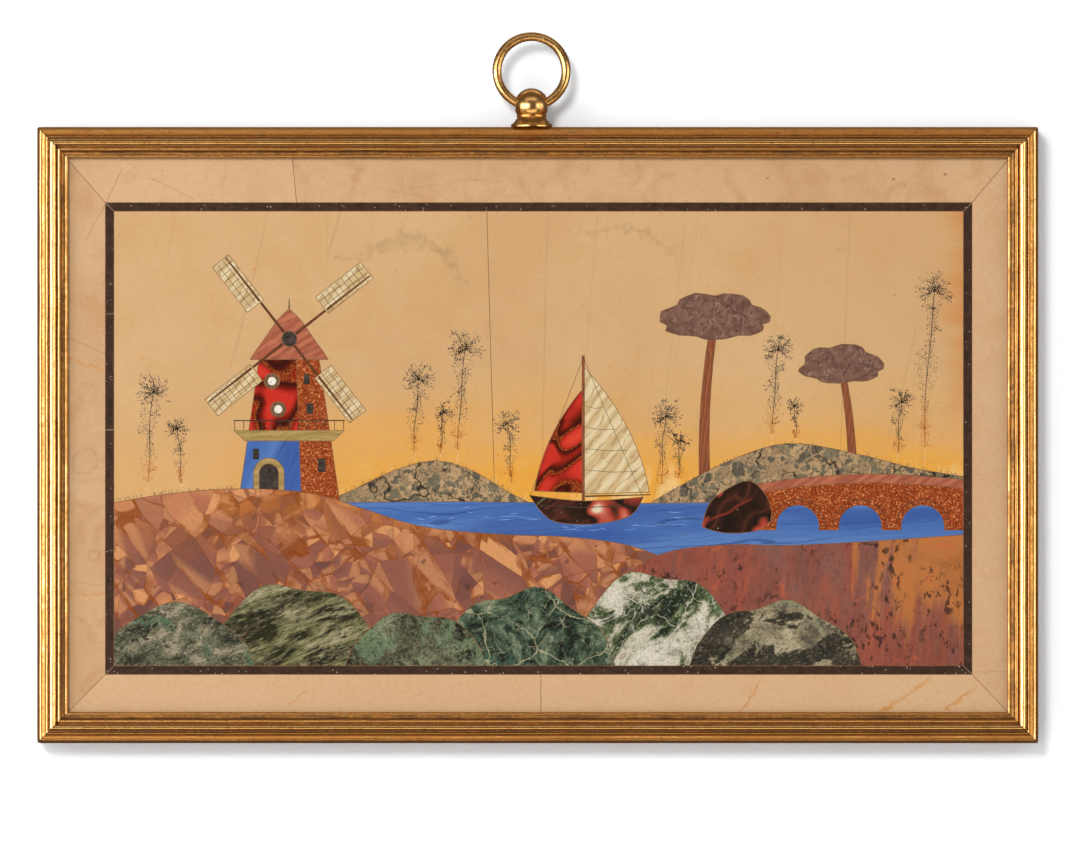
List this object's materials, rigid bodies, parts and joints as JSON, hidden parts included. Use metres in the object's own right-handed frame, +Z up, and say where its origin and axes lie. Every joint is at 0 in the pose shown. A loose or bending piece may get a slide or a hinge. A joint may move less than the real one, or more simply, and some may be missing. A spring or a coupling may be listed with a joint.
{
  "type": "framed hardstone mosaic panel",
  "caption": "Flush hardstone inlay of a lakeside landscape with a mill, boat and bridge, in a black fillet, marble border and moulded gilt brass frame with a swinging hanging ring.",
  "frame": {"origin": "middle of the flat back of the slab, on the plane that bears on the wall", "axes": "+Z up as hung, +Y out of the back towards the wall, so the picture faces -Y, and +X to the right seen from the front"},
  "size_m": [0.32, 0.014, 0.2275],
  "materials": {
    "gilt_brass": "polished, worn gilding",
    "slate": "sawn",
    "border_marble": "polished",
    "black_stone": "polished",
    "sky_limestone": "polished",
    "hill_breccia": "polished",
    "blue_glass": "polished",
    "jasper": "polished",
    "brown_breccia": "polished",
    "dark_serpentine": "polished",
    "cloudy_serpentine": "polished",
    "pale_serpentine": "polished",
    "blotched_serpentine": "polished",
    "aventurine": "polished, with copper flecks",
    "red_glass": "polished",
    "roof_stone": "polished",
    "gold_agate": "polished",
    "cream_agate": "polished",
    "dark_agate": "polished",
    "porphyry": "polished",
    "trunk_stone": "polished",
    "night_stone": "polished",
    "rim_stone": "polished",
    "white_stone": "polished"
  },
  "bodies": {
    "panel": {"frame_top_rail": "gilt_brass", "frame_bottom_rail": "gilt_brass", "frame_left_stile": "gilt_brass", "frame_right_stile": "gilt_brass", "ring_boss": "gilt_brass", "backing_slab": "slate", "border_top_left": "border_marble", "border_top_right": "border_marble", "border_left": "border_marble", "border_right": "border_marble", "border_bottom_left": "border_marble", "border_bottom_right": "border_marble", "fillet_top": "black_stone", "fillet_bottom": "black_stone", "fillet_left": "black_stone", "fillet_right": "black_stone", "sky_left": "sky_limestone", "sky_right": "sky_limestone", "hill_left": "hill_breccia", "hill_right": "hill_breccia", "lake": "blue_glass", "breccia_field": "brown_breccia", "jasper_bank": "jasper", "boulder_1": "dark_serpentine", "boulder_2": "pale_serpentine", "boulder_3": "blotched_serpentine", "boulder_4": "dark_serpentine", "boulder_5": "cloudy_serpentine", "boulder_6": "pale_serpentine", "knoll": "dark_agate", "mill_upper_lit": "red_glass", "mill_upper_shaded": "aventurine", "mill_lower_lit": "blue_glass", "mill_lower_shaded": "aventurine", "mill_gallery": "gold_agate", "mill_cap": "roof_stone", "mill_hub": "night_stone", "mill_sail_1": "cream_agate", "mill_sail_2": "cream_agate", "mill_sail_3": "cream_agate", "mill_sail_4": "cream_agate", "mill_door": "night_stone", "mill_door_arch": "gold_agate", "mill_window_ring_1": "rim_stone", "mill_window_ring_2": "rim_stone", "mill_window_dot_1": "white_stone", "mill_window_dot_2": "white_stone", "boat_hull": "dark_agate", "boat_mast": "trunk_stone", "boat_mainsail": "cream_agate", "boat_jib": "red_glass", "pine_crown_1": "porphyry", "pine_trunk_1": "trunk_stone", "pine_crown_2": "porphyry", "pine_trunk_2": "trunk_stone", "bridge_wall": "aventurine", "bridge_parapet": "roof_stone"},
    "ring": {"hanging_ring": "gilt_brass"}
  },
  "joints": [
    {"name": "ring_swing", "type": "hinge", "parent": "panel", "child": "ring", "pos_m": [-0.002, -0.007, 0.1061], "axis": [1, 0, 0], "range_deg": [-126, 140]}
  ]
}
